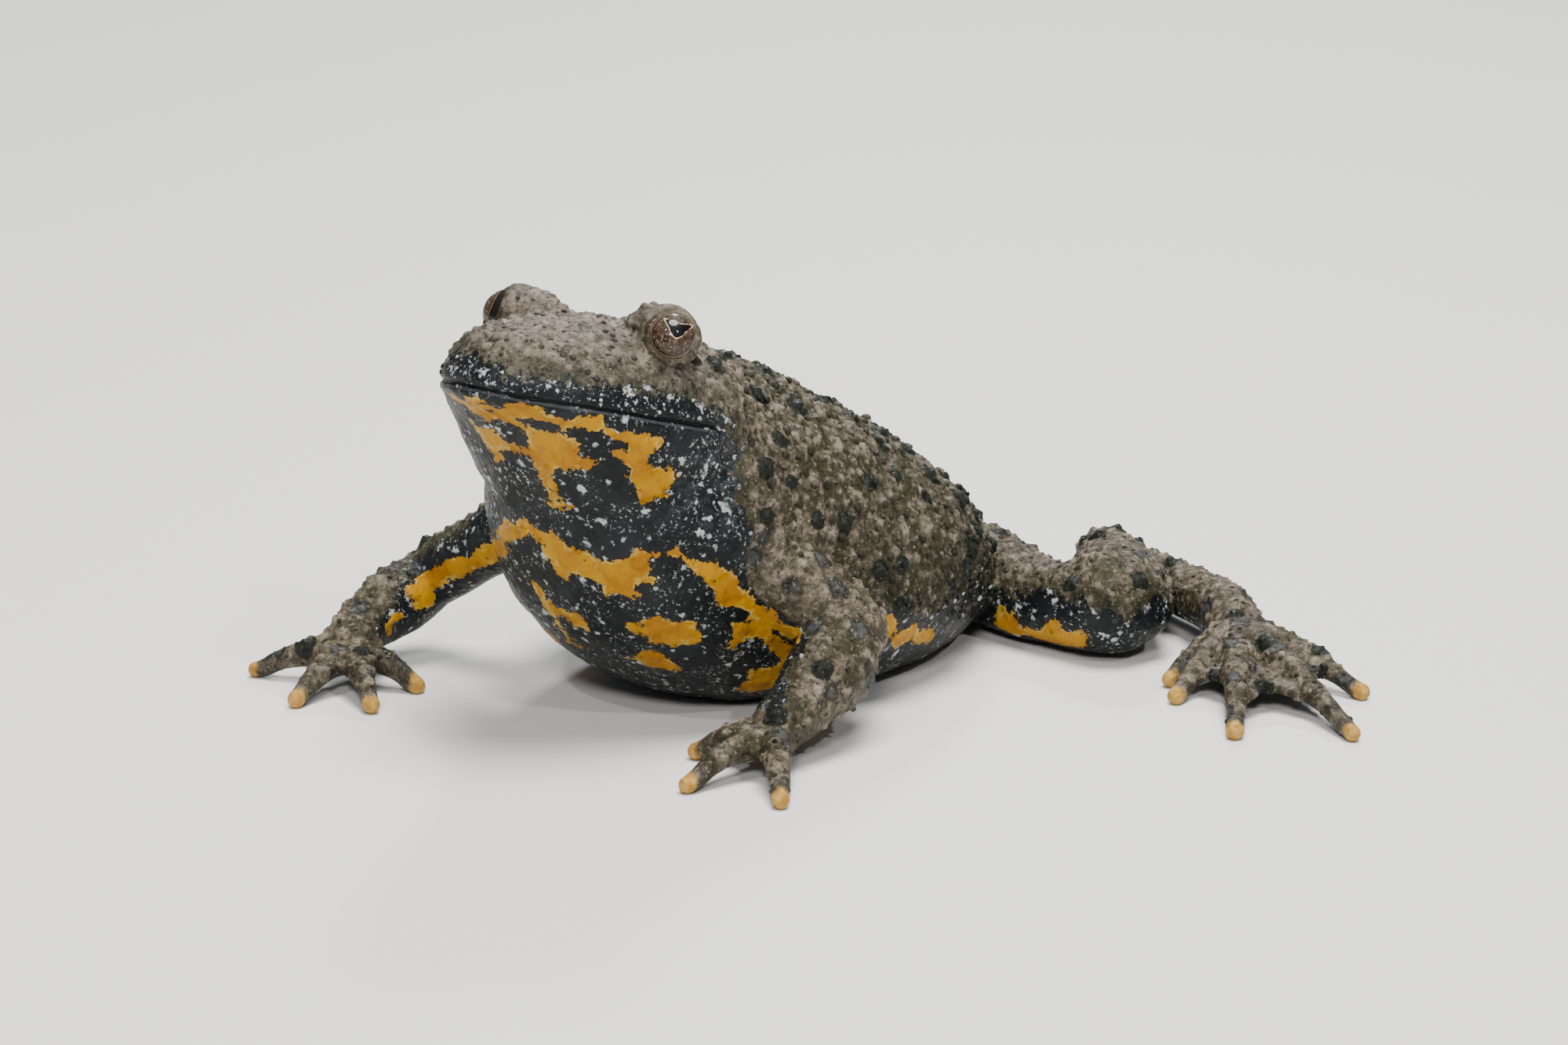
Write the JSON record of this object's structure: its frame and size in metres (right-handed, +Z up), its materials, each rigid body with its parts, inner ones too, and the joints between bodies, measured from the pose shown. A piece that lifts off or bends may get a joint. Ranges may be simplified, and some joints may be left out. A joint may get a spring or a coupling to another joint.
{
  "type": "fire-bellied toad",
  "caption": "Life-size model of a small warty toad with an orange and black underside, resting on its belly with its head raised and its legs spread.",
  "frame": {"origin": "on the floor, in the middle of the flat of the belly, on the toad's midline", "axes": "+Z up; -Y the way the toad faces; +X the toad's left side"},
  "size_m": [0.063, 0.0497, 0.0238],
  "materials": {
    "skin": "wet warty skin, grey-brown above, black with orange patches and pale specks below",
    "eye": "bronze iris with a dark heart-shaped pupil under a clear wet surface"
  },
  "bodies": {
    "root": {"torso": "skin", "head": "skin", "eye_left": "eye", "eye_right": "eye", "upper_arm_left": "skin", "upper_arm_right": "skin", "forearm_left": "skin", "forearm_right": "skin", "hand_left": "skin", "hand_right": "skin", "thigh_left": "skin", "thigh_right": "skin", "shank_left": "skin", "shank_right": "skin", "foot_left": "skin", "foot_right": "skin"}
  },
  "joints": []
}
